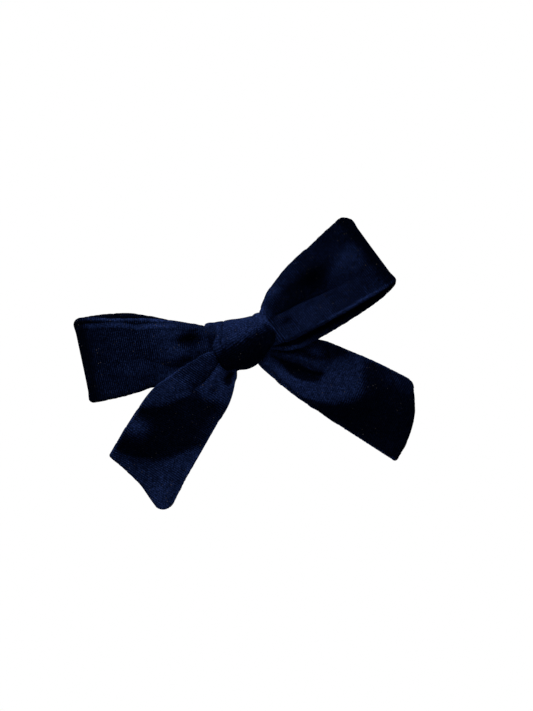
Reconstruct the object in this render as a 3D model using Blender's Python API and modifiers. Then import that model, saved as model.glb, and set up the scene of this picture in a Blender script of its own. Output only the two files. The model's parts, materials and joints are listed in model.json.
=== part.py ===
"""Hand-tied velvet hair bow on a ribbon-lined alligator clip, one object for each sub-part.

Frame: metres, +Z up, +X to the right of someone facing the bow, and -Y towards them.
The origin is on the outer face of the clip's gripping arm, the face that lies against the head,
straight behind the middle of the knot.

The bow is one flattened velvet tube. It is modelled as the lengths that show between its passes
through the knot: two loops, two tails, the turn wrapped round the knot, and the crossing inside it.
"Along" is the distance from the knot's middle, "across" the offset from a length's own axis in the
plane of the bow, and "depth" the distance in front of the knot's middle, towards the viewer.
"""

import math
from dataclasses import dataclass

import bmesh
import bpy
from mathutils import Vector

MM = 0.001

# The velvet strip and its knot
STRIP_THICKNESS = 1.6 * MM
FIT_GAP = 0.3 * MM
KNOT_Y = -14.0 * MM
KNOT_HALF_HEIGHT = 8.9 * MM
KNOT_HALF_DEPTH = 7.4 * MM
KNOT_DROP = -0.6 * MM
KNOT_TILT = -0.12
KNOT_MOUTH_X = 11.0 * MM
KNOT_MOUTH_NARROWING = 0.25
KNOT_SQUARENESS = 2.5
KNOT_WALL = 1.5 * MM
CORE_HALF = Vector((5.4, 4.8, 6.0)) * MM

# The alligator clip
ARM_THICKNESS = 0.8 * MM
ARM_HALF_WIDTH = 4.0 * MM
ARM_GAP = 3.4 * MM
ARM_CORNER = 1.6 * MM
TIP_X = 22.0 * MM
LEVER_X = -23.0 * MM
LEVER_BEND_X = -13.5 * MM
PIVOT_X = -11.0 * MM
TOP_LEVER_FLARE = math.radians(5.0)
BOTTOM_LEVER_FLARE = math.radians(14.0)
TOOTH_REACH = 2.6 * MM
TOOTH_PITCH = 2.0 * MM
TOOTH_NOTCHES = 3
EAR_THICKNESS = 0.6 * MM
EAR_RADIUS = 1.6 * MM
EAR_HALF_FOOT = 2.4 * MM
TOP_EAR_Z = 3.7 * MM
BOTTOM_EAR_Z = 2.9 * MM
PIN_RADIUS = 0.75 * MM
PIN_CLEARANCE = 0.08 * MM
PIN_HEAD_RADIUS = 1.3 * MM
PIN_HEAD_HEIGHT = 0.5 * MM
SPRING_WIRE_RADIUS = 0.25 * MM
SPRING_COIL_RADIUS = 1.28 * MM
SPRING_TURNS = 5.5
SPRING_PITCH = 0.65 * MM
SPRING_POINTS_PER_TURN = 14
SPRING_LEG = 7.5 * MM

# The lining ribbon and the glue that holds the bow to it
RIBBON_THICKNESS = 0.4 * MM
RIBBON_HALF_WIDTH = 4.5 * MM
RIBBON_GAP = 0.1 * MM
RIBBON_OUTER_END_X = -21.0 * MM
RIBBON_INNER_END_X = -6.0 * MM
GLUE_HALF_LENGTH = 8.0 * MM
GLUE_HALF_WIDTH = 3.4 * MM
GLUE_GAP = 0.15 * MM

BOTTOM_ARM_Y = -ARM_THICKNESS / 2
TOP_ARM_Y = -ARM_THICKNESS * 1.5 - ARM_GAP
PIVOT_Y = (BOTTOM_ARM_Y + TOP_ARM_Y) / 2

ROWS_ALONG_LOOP = 44
ROWS_ALONG_TAIL = 24
COLUMNS_ACROSS = 10


@dataclass(frozen=True)
class Edge:
    """One edge of a strip: its offset at the knot's mouth and far from it, and how fast it spreads."""

    mouth: float
    full: float
    settle: float
    power: float = 1.0

    def offset(self, beyond_mouth):
        spread = 1 - math.exp(-((max(beyond_mouth, 0.0) / self.settle) ** self.power))
        return self.mouth + (self.full - self.mouth) * spread


@dataclass(frozen=True)
class Loop:
    name: str
    angle: float
    start: float
    mouth: float
    reach: float
    low: Edge
    high: Edge
    front_root: float
    back_root: float
    fold_depth: float
    fold_radius: float
    front_bulge: float
    back_bulge: float
    crown: float
    back_slip: float
    slip_power: float


@dataclass(frozen=True)
class Tail:
    name: str
    angle: float
    start: float
    start_skew: float
    mouth: float
    length: float
    skew: float
    end_bow: float
    low: Edge
    high: Edge
    low_corner: float
    high_corner: float
    turning_points: tuple
    slant: float
    crown: float


LEFT_LOOP = Loop(
    name="left_loop",
    angle=173.4,
    start=9.0 * MM,
    mouth=10.6 * MM,
    reach=52.8 * MM,
    low=Edge(-5.3 * MM, -19.2 * MM, 15.0 * MM),
    high=Edge(3.6 * MM, 10.9 * MM, 15.0 * MM),
    front_root=0.5 * MM,
    back_root=-1.6 * MM,
    fold_depth=-0.4 * MM,
    fold_radius=2.9 * MM,
    front_bulge=1.4 * MM,
    back_bulge=2.6 * MM,
    crown=1.1 * MM,
    back_slip=-1.6 * MM,
    slip_power=1.3,
)
RIGHT_LOOP = Loop(
    name="right_loop",
    angle=18.7,
    start=11.0 * MM,
    mouth=11.4 * MM,
    reach=53.6 * MM,
    low=Edge(-8.2 * MM, -17.0 * MM, 27.0 * MM),
    high=Edge(1.4 * MM, 13.8 * MM, 8.2 * MM),
    front_root=1.6 * MM,
    back_root=0.3 * MM,
    fold_depth=0.2 * MM,
    fold_radius=2.9 * MM,
    front_bulge=1.9 * MM,
    back_bulge=1.4 * MM,
    crown=1.3 * MM,
    back_slip=-4.2 * MM,
    slip_power=0.45,
)
LEFT_TAIL = Tail(
    name="left_tail",
    angle=220.6,
    start=10.2 * MM,
    start_skew=1.4 * MM,
    mouth=9.0 * MM,
    length=58.8 * MM,
    skew=3.2 * MM,
    end_bow=0.0,
    low=Edge(-6.2 * MM, -17.8 * MM, 13.3 * MM, 1.5),
    high=Edge(2.6 * MM, 8.6 * MM, 9.0 * MM),
    low_corner=0.8 * MM,
    high_corner=4.6 * MM,
    turning_points=(
        (7.0 * MM, 2.9 * MM),
        (24.0 * MM, 8.0 * MM),
        (45.0 * MM, 1.0 * MM),
        (62.0 * MM, 4.5 * MM),
    ),
    slant=0.6,
    crown=0.9 * MM,
)
RIGHT_TAIL = Tail(
    name="right_tail",
    angle=-46.6,
    start=11.0 * MM,
    start_skew=0.2 * MM,
    mouth=9.4 * MM,
    length=61.8 * MM,
    skew=-4.2 * MM,
    end_bow=3.2 * MM,
    low=Edge(-2.8 * MM, -10.6 * MM, 21.0 * MM),
    high=Edge(3.4 * MM, 16.2 * MM, 8.0 * MM),
    low_corner=1.0 * MM,
    high_corner=2.4 * MM,
    turning_points=(
        (11.0 * MM, -1.9 * MM),
        (25.0 * MM, -5.8 * MM),
        (43.0 * MM, -1.5 * MM),
        (64.0 * MM, -5.5 * MM),
    ),
    slant=0.0,
    crown=0.9 * MM,
)


def clear_scene():
    for obj in list(bpy.data.objects):
        bpy.data.objects.remove(obj)


def new_collection(name):
    collection = bpy.data.collections.new(name)
    bpy.context.scene.collection.children.link(collection)
    return collection


def new_material(name, colour, roughness, metallic=0.0):
    material = bpy.data.materials.new(name)
    material.use_nodes = True
    shader = material.node_tree.nodes["Principled BSDF"]
    shader.inputs["Base Color"].default_value = (*colour, 1.0)
    shader.inputs["Roughness"].default_value = roughness
    shader.inputs["Metallic"].default_value = metallic
    return material


def new_object(name, mesh, collection, material=None):
    obj = bpy.data.objects.new(name, mesh)
    collection.objects.link(obj)
    if material is not None:
        mesh.materials.append(material)
    return obj


def new_cutter(name, mesh, collection):
    obj = new_object(name, mesh, collection)
    obj.hide_render = True
    obj.display_type = "WIRE"
    return obj


def mesh_of(bm, name):
    mesh = bpy.data.meshes.new(name)
    bm.to_mesh(mesh)
    bm.free()
    return mesh


def smooth_step(x):
    x = min(max(x, 0.0), 1.0)
    return x * x * (3 - 2 * x)


def mix(a, b, share):
    return a + (b - a) * share


def place(angle, along, across, depth):
    """A point of the bow from its distances along and across an axis at this angle, and its depth."""
    turn = math.radians(angle)
    return Vector(
        (
            along * math.cos(turn) - across * math.sin(turn),
            KNOT_Y - depth,
            along * math.sin(turn) + across * math.cos(turn),
        )
    )


def loop_point(loop, s, v):
    """A loop's middle surface: s is 0 at the front root and 1 at the back one, v is -1 to 1 across."""
    run = loop.reach - loop.fold_radius - loop.start
    fold_length = math.pi * loop.fold_radius
    travelled = s * (2 * run + fold_length)
    turn = min(max((travelled - run) / loop.fold_radius, 0.0), math.pi)
    in_front = travelled < run + fold_length / 2
    straight = min(travelled, run) if in_front else min(2 * run + fold_length - travelled, run)
    along = loop.start + straight + loop.fold_radius * math.sin(turn)
    x = straight / run
    puff = math.sin(math.pi * x) ** 2
    if in_front:
        depth = mix(loop.front_root, loop.fold_depth + loop.fold_radius, smooth_step(x))
        depth += loop.front_bulge * puff
    else:
        depth = mix(loop.back_root, loop.fold_depth - loop.fold_radius, smooth_step(x))
        depth -= loop.back_bulge * puff
    if 0 < turn < math.pi:
        depth = loop.fold_depth + loop.fold_radius * math.cos(turn)
    depth += loop.crown * (1 - v * v) * math.cos(turn) * math.sin(math.pi / 2 * x)
    slip = 0.0 if in_front else loop.back_slip * math.sin(math.pi * x**loop.slip_power)
    beyond = along - loop.mouth
    across = mix(loop.low.offset(beyond), loop.high.offset(beyond), (v + 1) / 2) + slip
    return place(loop.angle, along, across, depth)


def rounded_corner(radius, short_of_end):
    """How far a rounded corner pulls an edge in, this short of the strip's end."""
    inside = min(max(1 - short_of_end / radius, 0.0), 1.0)
    return radius * (1 - math.sqrt(1 - inside * inside))


def depth_through(turning_points, x):
    """A depth that swings smoothly through the (along, depth) turning points and is level at each."""
    level = turning_points[0][1]
    for (start, _), (end, depth) in zip(turning_points, turning_points[1:]):
        level = mix(level, depth, smooth_step((x - start) / (end - start)))
    return level


def tail_point(tail, u, v):
    """A tail's middle surface: u runs 0 to 1 from the knot to the cut end, v -1 to 1 across."""
    end = tail.length + tail.skew * v + tail.end_bow * (1 - v * v)
    along = mix(tail.start + tail.start_skew * v, end, u)
    beyond = along - tail.mouth
    low = tail.low.offset(beyond) + rounded_corner(tail.low_corner, end - along)
    high = tail.high.offset(beyond) - rounded_corner(tail.high_corner, end - along)
    across = mix(low, high, (v + 1) / 2)
    depth = depth_through(tail.turning_points, along + tail.slant * across)
    depth += tail.crown * (1 - v * v) * smooth_step(2 * u)
    return place(tail.angle, along, across, depth)


def sheet_mesh(name, point_at, rows, columns, origin, closed=False):
    """A grid of the points point_at(u, v), u 0 to 1 and v -1 to 1. A closed one meets itself along v."""
    bm = bmesh.new()
    bmesh.ops.create_grid(bm, x_segments=rows, y_segments=columns, size=1.0)
    for vert in bm.verts:
        vert.co = point_at((vert.co.x + 1) / 2, vert.co.y) - origin
    if closed:
        bmesh.ops.remove_doubles(bm, verts=bm.verts, dist=0.01 * MM)
    return mesh_of(bm, name)


def solidify(obj, thickness, offset=0.0):
    modifier = obj.modifiers.new("thickness", "SOLIDIFY")
    modifier.thickness = thickness
    modifier.offset = offset
    modifier.use_even_offset = True


def velvet_length(name, point_at, rows, origin, collection, material):
    """A flattened length of the velvet tube, whose object has its own origin."""
    mesh = sheet_mesh(name, point_at, rows, COLUMNS_ACROSS, origin)
    mesh.shade_smooth()
    obj = new_object(name, mesh, collection, material)
    obj.location = origin
    solidify(obj, STRIP_THICKNESS)
    return obj


def add_loop(loop, collection, material):
    root = place(loop.angle, loop.mouth, 0.0, 0.0)
    velvet_length(
        loop.name, lambda u, v: loop_point(loop, u, v), ROWS_ALONG_LOOP, root, collection, material
    )


def tail_hinge(tail):
    """The point at the knot's mouth about which a tail swings."""
    return tail_point(tail, 0.0, 0.0)


def add_tail(tail, collection, material):
    def packed_towards_end(u, v):
        return tail_point(tail, 1 - (1 - u) ** 1.5, v)

    velvet_length(tail.name, packed_towards_end, ROWS_ALONG_TAIL, tail_hinge(tail), collection, material)


def superellipse(turn, half_height, half_depth):
    """(depth, height) on a squared-off oval; turn is 0 at the front and a quarter turn at the top."""
    def reach(wave, half):
        return math.copysign(abs(wave) ** (2 / KNOT_SQUARENESS), wave) * half

    return reach(math.cos(turn), half_depth), reach(math.sin(turn), half_height)


def knot_side_x(height, right):
    """Where the wrap ends at this height: its left edge leans, its right one bulges and is cut back low."""
    h = height / MM
    if right:
        return (12.1 - 0.03 * (h + 1) ** 2 - 0.25 * max(0.0, -h - 2.5) ** 2) * MM
    return (-8.2 - 0.2 * h) * MM


def knot_point(u, v):
    """The wrap's outer surface: u runs from its left edge to its right, v once round it from the back."""
    turn = math.pi * (v + 1)
    _, level = superellipse(turn, KNOT_HALF_HEIGHT, KNOT_HALF_DEPTH)
    height = level + KNOT_DROP
    x = mix(knot_side_x(height, right=False), knot_side_x(height, right=True), u)
    narrowing = 1 - KNOT_MOUTH_NARROWING * (x / KNOT_MOUTH_X) ** 2
    depth, level = superellipse(turn, KNOT_HALF_HEIGHT, KNOT_HALF_DEPTH * narrowing)
    return Vector((x, KNOT_Y - depth, level + KNOT_DROP + KNOT_TILT * x))


def add_knot(collection, material):
    origin = Vector((0.0, KNOT_Y, 0.0))
    mesh = sheet_mesh("knot_wrap", knot_point, 10, 32, origin, closed=True)
    mesh.shade_smooth()
    wrap = new_object("knot_wrap", mesh, collection, material)
    wrap.location = origin
    solidify(wrap, KNOT_WALL, offset=-1.0)

    bm = bmesh.new()
    bmesh.ops.create_uvsphere(bm, u_segments=20, v_segments=12, radius=1.0)
    bmesh.ops.scale(bm, vec=CORE_HALF, verts=bm.verts)
    mesh = mesh_of(bm, "knot_core")
    mesh.shade_smooth()
    core = new_object("knot_core", mesh, collection, material)
    core.location = origin + Vector((0.0, 0.0, KNOT_DROP))


def strip_object(name, path, half_widths, thickness, collection, material, origin=Vector()):
    """Sheet of one thickness, its middle following (x, y) points and its width lying along Z."""
    bm = bmesh.new()
    last = len(path) - 1
    bmesh.ops.create_grid(bm, x_segments=last, y_segments=1, size=1.0)
    for vert in bm.verts:
        i = round((vert.co.x + 1) / 2 * last)
        vert.co = Vector((*path[i], math.copysign(half_widths[i], vert.co.y))) - origin
    obj = new_object(name, mesh_of(bm, name), collection, material)
    obj.location = origin
    solidify(obj, thickness)
    return obj


def corner_steps(end_x, inwards):
    """(x, how much narrower) pairs that round an arm's two corners at one end."""
    for step in range(5):
        turn = math.pi / 2 * step / 4
        yield end_x + inwards * ARM_CORNER * (1 - math.sin(turn)), ARM_CORNER * (1 - math.cos(turn))


def lever_y(x, base_y, flare, outwards):
    """An arm is flat along the jaw and flares away from the other arm behind the pivot."""
    return base_y + outwards * max(0.0, LEVER_BEND_X - x) * math.tan(flare)


def arm_path(base_y, flare, outwards):
    """(path, half widths) of an arm from its lever end, with round corners, to the jaw's tip."""
    lever = [(x, ARM_HALF_WIDTH - cut) for x, cut in corner_steps(LEVER_X, 1)][::-1]
    middle = [(x, ARM_HALF_WIDTH) for x in (LEVER_BEND_X - 0.6 * MM, LEVER_BEND_X + 0.6 * MM, 5 * MM)]
    tip = [(x, ARM_HALF_WIDTH - cut) for x, cut in corner_steps(TIP_X, -1)]
    stations = sorted(lever + middle + tip)
    path = [(x, lever_y(x, base_y, flare, outwards)) for x, _ in stations]
    return path, [half for _, half in stations]


def mesh_from_curve(obj):
    """A mesh copy of a curve's evaluated shape with its caps welded; the curve is removed."""
    graph = bpy.context.evaluated_depsgraph_get()
    mesh = bpy.data.meshes.new_from_object(obj.evaluated_get(graph), depsgraph=graph)
    bm = bmesh.new()
    bm.from_mesh(mesh)
    bmesh.ops.remove_doubles(bm, verts=bm.verts, dist=0.001 * MM)
    bmesh.ops.recalc_face_normals(bm, faces=bm.faces)
    bm.to_mesh(mesh)
    bm.free()
    bpy.data.objects.remove(obj)
    return mesh


def ear_mesh(name, foot_y):
    """A round-ended ear with the pin's hole, standing on an arm at foot_y and lying in the XY plane."""
    curve = bpy.data.curves.new(name, "CURVE")
    curve.dimensions = "2D"
    curve.fill_mode = "BOTH"
    curve.extrude = EAR_THICKNESS / 2
    towards_foot = math.copysign(1.0, foot_y - PIVOT_Y)
    outline = [(-EAR_HALF_FOOT, foot_y - PIVOT_Y), (EAR_HALF_FOOT, foot_y - PIVOT_Y)]
    for step in range(13):
        turn = math.pi * step / 12
        outline.append((EAR_RADIUS * math.cos(turn), -towards_foot * EAR_RADIUS * math.sin(turn)))
    hole_radius = PIN_RADIUS + PIN_CLEARANCE
    hole = [
        (hole_radius * math.cos(2 * math.pi * i / 24), hole_radius * math.sin(2 * math.pi * i / 24))
        for i in range(24)
    ]
    for points in (outline, hole):
        spline = curve.splines.new("POLY")
        spline.points.add(len(points) - 1)
        for point, (x, y) in zip(spline.points, points):
            point.co = (x, y, 0.0, 1.0)
        spline.use_cyclic_u = True
    obj = bpy.data.objects.new(name, curve)
    bpy.context.scene.collection.objects.link(obj)
    return mesh_from_curve(obj)


def add_boolean(obj, other, operation):
    modifier = obj.modifiers.new(other.name, "BOOLEAN")
    modifier.operation = operation
    modifier.object = other
    modifier.solver = "EXACT"


def add_ears(arm, foot_y, ear_z, cutters):
    """Joins a pair of pivot ears to an arm."""
    mesh = ear_mesh(arm.name + "_ear", foot_y)
    for side in (-1, 1):
        ear = new_cutter(f"{arm.name}_ear_{side}", mesh, cutters)
        ear.location = (PIVOT_X, PIVOT_Y, side * ear_z)
        add_boolean(arm, ear, "UNION")


def add_top_arm(collection, cutters, material):
    path, widths = arm_path(TOP_ARM_Y, TOP_LEVER_FLARE, outwards=-1)
    arm = strip_object("clip_top_arm", path, widths, ARM_THICKNESS, collection, material)
    add_ears(arm, TOP_ARM_Y, TOP_EAR_Z, cutters)


def tooth_cutter_mesh():
    """Square bars on edge, along X, that cut V notches in the tip's flange."""
    bm = bmesh.new()
    for i in range(TOOTH_NOTCHES):
        made = bmesh.ops.create_cone(
            bm, cap_ends=True, segments=4, radius1=0.8 * MM, radius2=0.8 * MM, depth=4 * MM
        )
        z = (i - (TOOTH_NOTCHES - 1) / 2) * TOOTH_PITCH
        for vert in made["verts"]:
            vert.co = Vector((vert.co.z, vert.co.y, vert.co.x + z))
    bmesh.ops.recalc_face_normals(bm, faces=bm.faces)
    return mesh_of(bm, "tooth_notches")


def add_bottom_arm(collection, cutters, material):
    """The gripping arm, whose tip is bent up into a row of teeth. Its origin is on the pivot."""
    path, widths = arm_path(BOTTOM_ARM_Y, BOTTOM_LEVER_FLARE, outwards=1)
    pivot = Vector((PIVOT_X, PIVOT_Y, 0.0))
    arm = strip_object("clip_bottom_arm", path, widths, ARM_THICKNESS, collection, material, pivot)
    bm = bmesh.new()
    bmesh.ops.create_cube(bm, size=1.0)
    flange_height = TOOTH_REACH + ARM_THICKNESS / 2
    flange_size = Vector((ARM_THICKNESS, flange_height, 2 * (ARM_HALF_WIDTH - ARM_CORNER / 2)))
    bmesh.ops.scale(bm, vec=flange_size, verts=bm.verts)
    flange = new_cutter("tooth_flange", mesh_of(bm, "tooth_flange"), cutters)
    flange.location = (TIP_X - ARM_CORNER, BOTTOM_ARM_Y - flange_height / 2, 0.0)
    add_boolean(arm, flange, "UNION")
    notches = new_cutter("tooth_notches", tooth_cutter_mesh(), cutters)
    notches.location = (TIP_X - ARM_CORNER, BOTTOM_ARM_Y - flange_height, 0.0)
    add_boolean(arm, notches, "DIFFERENCE")
    add_ears(arm, BOTTOM_ARM_Y, BOTTOM_EAR_Z, cutters)


def add_pivot_pin(collection, material):
    """A pin with a domed head peened on each end, turned about Z."""
    shank = TOP_EAR_Z + EAR_THICKNESS / 2 + PIN_CLEARANCE
    top = shank + PIN_HEAD_HEIGHT
    dome = [
        (PIN_HEAD_RADIUS * math.sin(turn), shank + PIN_HEAD_HEIGHT * math.cos(turn))
        for turn in (math.pi / 2 * i / 4 for i in range(1, 5))
    ]
    upper = [(0.0, top), *dome, (PIN_RADIUS, shank)]
    profile = upper + [(x, -z) for x, z in reversed(upper)]
    bm = bmesh.new()
    verts = [bm.verts.new((x, 0.0, z)) for x, z in profile]
    for a, b in zip(verts, verts[1:]):
        bm.edges.new((a, b))
    pin = new_object("clip_pivot_pin", mesh_of(bm, "clip_pivot_pin"), collection, material)
    pin.location = (PIVOT_X, PIVOT_Y, 0.0)
    screw = pin.modifiers.new("turned", "SCREW")
    screw.axis = "Z"
    screw.steps = 24
    screw.render_steps = 24
    screw.use_merge_vertices = True
    screw.merge_threshold = 0.00001


def spring_points():
    """The torsion spring's centre line about the pivot: a leg on each lever and the coil between them."""
    coil = []
    for i in range(round(SPRING_TURNS * SPRING_POINTS_PER_TURN) + 1):
        turns = i / SPRING_POINTS_PER_TURN
        angle = 2 * math.pi * turns - math.pi / 2
        z = SPRING_PITCH * (turns - SPRING_TURNS / 2)
        coil.append(Vector((SPRING_COIL_RADIUS * math.cos(angle), SPRING_COIL_RADIUS * math.sin(angle), z)))
    to_bend = LEVER_BEND_X - PIVOT_X
    past_bend = SPRING_LEG + to_bend
    top_leg = coil[0] - Vector((SPRING_LEG, 0.0, 0.0))
    bottom_bend = coil[-1] + Vector((to_bend, 0.0, 0.0))
    bottom_leg = bottom_bend + Vector((-past_bend, past_bend * math.tan(BOTTOM_LEVER_FLARE), 0.0))
    return [top_leg, *coil, bottom_bend, bottom_leg]


def add_spring(collection, material):
    points = spring_points()
    curve = bpy.data.curves.new("clip_spring", "CURVE")
    curve.dimensions = "3D"
    curve.bevel_depth = SPRING_WIRE_RADIUS
    curve.bevel_resolution = 2
    curve.use_fill_caps = True
    spline = curve.splines.new("POLY")
    spline.points.add(len(points) - 1)
    for point, co in zip(spline.points, points):
        point.co = (*co, 1.0)
    obj = bpy.data.objects.new("clip_spring", curve)
    collection.objects.link(obj)
    curve.materials.append(material)
    obj.location = (PIVOT_X, PIVOT_Y, 0.0)


def add_lining(collection, material):
    """Grosgrain ribbon laid along the top arm, over its tip and back along the inside of the jaw."""
    standoff = ARM_THICKNESS / 2 + RIBBON_GAP + RIBBON_THICKNESS / 2
    lever_xs = (RIBBON_OUTER_END_X, LEVER_BEND_X)
    path = [(x, lever_y(x, TOP_ARM_Y - standoff, TOP_LEVER_FLARE, -1)) for x in lever_xs]
    for step in range(9):
        turn = math.pi * step / 8
        path.append((TIP_X + standoff * math.sin(turn), TOP_ARM_Y - standoff * math.cos(turn)))
    path.append((RIBBON_INNER_END_X, TOP_ARM_Y + standoff))
    widths = [RIBBON_HALF_WIDTH] * len(path)
    strip_object("clip_lining", path, widths, RIBBON_THICKNESS, collection, material)


def add_glue_pad(collection, material):
    """The bead of hot-melt glue between the lined top arm and the back of the knot."""
    front = KNOT_Y + KNOT_HALF_DEPTH + FIT_GAP
    back = TOP_ARM_Y - ARM_THICKNESS / 2 - RIBBON_GAP - RIBBON_THICKNESS - GLUE_GAP
    bm = bmesh.new()
    bmesh.ops.create_cube(bm, size=1.0)
    size = Vector((2 * GLUE_HALF_LENGTH, back - front, 2 * GLUE_HALF_WIDTH))
    bmesh.ops.scale(bm, vec=size, verts=bm.verts)
    pad = new_object("glue_pad", mesh_of(bm, "glue_pad"), collection, material)
    pad.location = (0.0, (front + back) / 2, 0.0)
    bevel = pad.modifiers.new("soft edges", "BEVEL")
    bevel.width = (back - front) * 0.35
    bevel.segments = 2


def main():
    clear_scene()
    bow = new_collection("hair_bow")
    cutters = new_collection("cutters")
    velvet = new_material("navy_velvet", (0.006, 0.011, 0.035), 0.9)
    ribbon = new_material("navy_grosgrain", (0.010, 0.016, 0.045), 0.75)
    steel = new_material("nickel_plated_steel", (0.75, 0.74, 0.72), 0.25, 1.0)
    glue = new_material("clear_hot_melt", (0.80, 0.78, 0.70), 0.3)
    for loop in (LEFT_LOOP, RIGHT_LOOP):
        add_loop(loop, bow, velvet)
    for tail in (LEFT_TAIL, RIGHT_TAIL):
        add_tail(tail, bow, velvet)
    add_knot(bow, velvet)
    add_glue_pad(bow, glue)
    add_lining(bow, ribbon)
    add_top_arm(bow, cutters, steel)
    add_bottom_arm(bow, cutters, steel)
    add_pivot_pin(bow, steel)
    add_spring(bow, steel)


main()
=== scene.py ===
"""Looks of a hand-tied velvet hair bow on a lined alligator clip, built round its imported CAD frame.

The velvet lengths are drawn in millimetres in the bow's own terms. "Along" is the distance from the
knot's middle on a length's axis, "across" the offset from that axis in the plane of the bow, and
"depth" the distance in front of the knot's middle, towards the viewer. The frame gives the knot's
place and the bow's scale, and the clip's parts give the places of everything behind the knot.
"""

import json
import math

import bmesh
import bpy
import numpy as np
from mathutils import Matrix, Vector


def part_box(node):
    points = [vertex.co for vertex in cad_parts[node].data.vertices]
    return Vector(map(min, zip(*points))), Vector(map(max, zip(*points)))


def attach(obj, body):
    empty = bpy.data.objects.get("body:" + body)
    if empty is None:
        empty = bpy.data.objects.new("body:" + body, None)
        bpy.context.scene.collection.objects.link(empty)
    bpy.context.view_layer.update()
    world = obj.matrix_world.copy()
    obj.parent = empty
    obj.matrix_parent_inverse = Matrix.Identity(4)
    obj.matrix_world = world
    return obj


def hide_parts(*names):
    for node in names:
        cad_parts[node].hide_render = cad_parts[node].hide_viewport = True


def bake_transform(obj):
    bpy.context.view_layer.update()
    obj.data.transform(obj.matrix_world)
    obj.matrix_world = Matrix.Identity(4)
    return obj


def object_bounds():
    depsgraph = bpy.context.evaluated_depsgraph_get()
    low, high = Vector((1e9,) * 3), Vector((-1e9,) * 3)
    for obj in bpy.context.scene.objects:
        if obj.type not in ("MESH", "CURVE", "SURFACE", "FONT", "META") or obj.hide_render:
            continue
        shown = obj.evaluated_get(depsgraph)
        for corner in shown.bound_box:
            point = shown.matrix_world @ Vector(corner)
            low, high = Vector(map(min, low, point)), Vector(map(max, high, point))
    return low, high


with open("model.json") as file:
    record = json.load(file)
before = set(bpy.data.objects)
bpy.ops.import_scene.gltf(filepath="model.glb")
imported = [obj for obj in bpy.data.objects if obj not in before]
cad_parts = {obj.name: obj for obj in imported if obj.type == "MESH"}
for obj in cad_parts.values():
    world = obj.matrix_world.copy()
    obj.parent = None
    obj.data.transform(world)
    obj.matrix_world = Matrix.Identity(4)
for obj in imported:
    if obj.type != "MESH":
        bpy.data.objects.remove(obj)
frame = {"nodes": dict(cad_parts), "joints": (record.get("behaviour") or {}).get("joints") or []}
cad_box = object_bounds()

BOW_WIDTH = 110.9

# The velvet: sizes in the bow's millimetres, the chance that picks cells for lint, and colours
EDGE_ROLL = 0.95
HALF_THICKNESS = 0.68
EDGE_FADE = 3.0
RIB_PITCH = 0.67
PILE_SIZE = 0.42
PILE_TIP_SIZE = 0.36
TUFT_SIZE = 1.6
PATCH_SIZE = 9.0
LINT_CELL = 0.9
LINT_THRESHOLD = 0.76
VELVET_COLOUR = (0.0040, 0.0078, 0.0290)
LINT_COLOUR = (0.078, 0.068, 0.062, 1.0)

# What one unit of the cloth UV map stands for, in the bow's millimetres
UV_ACROSS = 40.0
UV_LENGTH = 120.0

# How finely each skin is cut
LOOP_ROWS = 181
TAIL_ROWS = 111
COLUMNS = 81
KNOT_ROWS = 160
KNOT_COLUMNS = 111

# The clip's ribbon, with the ends of its straight runs, and its wire and worn edges, in millimetres
GROSGRAIN_RIB = 0.9
GROSGRAIN_BEAD = 0.32
GROSGRAIN_THIN = 0.10
GROSGRAIN_RELIEF = 0.07
GROSGRAIN_PICOT = 0.16
PICOT_ROOM = 0.25
STATIONS_PER_RIB = 8
RIBBON_HALF_THICKNESS = 0.2
RIBBON_COLUMNS = 15
SUNK_IN_GLUE = 0.15
LEVER_END_GAP = 0.3
LEVER_X = -13.5
INNER_END_X = -6.0
WIRE_RADIUS = 0.25
LEG_BEFORE_BEND = 2.5
WORN_EDGE = 0.12

# The radius of the fold at a loop's end, and distances along the axes: where each length starts in the
# knot, where a tail starts and stops bending, and about where it ends
LOOP_FOLD = 2.9
LOOP_START = 5.0
TAIL_START = 6.0
TAIL_END = 58.0

# The cloth solver's pass over each loop and tail
CLOTH_ROWS = 61
CLOTH_COLUMNS = 25
CLOTH_ENLARGED = 20.0
CLOTH_EXCESS = 0.015
CLOTH_BENDING = 1.0
CLOTH_FRAMES = 14
CLOTH_CAP = 0.25

# The view: the bow hangs tilted in the picture, right of and below the middle
ROLL = math.radians(18.0)
LENS = 85.0
VIEW_DISTANCE = 0.5726
VIEW_CENTRE = (9.04, -4.6)
FLOOR_DROP = 0.30
FLOOR_RADIUS = 0.6
FILL_IN_FRONT = 0.012
FILL_BEHIND = 0.5


# How many metres one of the bow's millimetres is in this frame, and how far back the knot's middle is
UNIT = (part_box("right_loop")[1].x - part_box("left_loop")[0].x) / BOW_WIDTH
KNOT_Y = (sum(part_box("knot_core"), Vector()) / 2).y


def new_object(name, data):
    obj = bpy.data.objects.new(name, data)
    bpy.context.scene.collection.objects.link(obj)
    return obj


# ---- curves and surfaces


def smooth_step(x):
    x = np.clip(x, 0.0, 1.0)
    return x * x * (3 - 2 * x)


def rise(x, start, width):
    """0 up to the start and 1 from one width beyond it, with a smooth change between."""
    return smooth_step((x - start) / width)


def fall(x, end, width):
    """1 up to one width before the end and 0 from the end on, with a smooth change between."""
    return smooth_step((end - x) / width)


def mix(a, b, share):
    return a + (b - a) * share


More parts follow.
